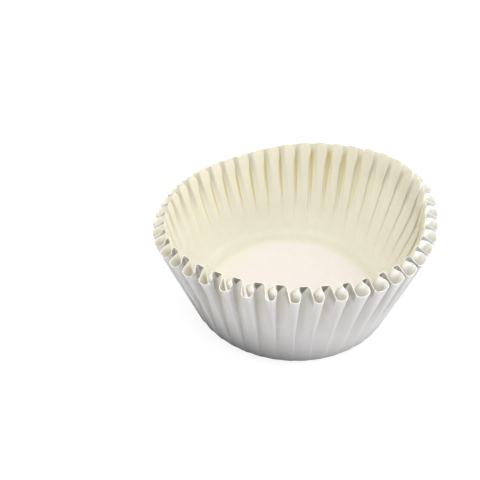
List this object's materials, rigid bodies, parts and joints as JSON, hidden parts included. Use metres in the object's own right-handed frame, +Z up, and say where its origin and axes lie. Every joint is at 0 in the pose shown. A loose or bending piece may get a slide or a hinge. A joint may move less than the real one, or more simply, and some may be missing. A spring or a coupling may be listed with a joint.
{
  "type": "cupcake liner",
  "caption": "Round paper baking cup with a flat floor, a rounded heel and an outward leaning wall folded into narrow pleats that open towards the rim.",
  "frame": {"origin": "centre of the underside of the floor, on the axis of the cup", "axes": "+Z up along the axis of the cup towards its open rim; X and Y lie across it, and a pleat crest faces +X"},
  "size_m": [0.0674, 0.0674, 0.0289],
  "materials": {
    "paper": "matte, slightly translucent baking paper"
  },
  "bodies": {
    "root": {"liner": "paper"}
  },
  "joints": []
}
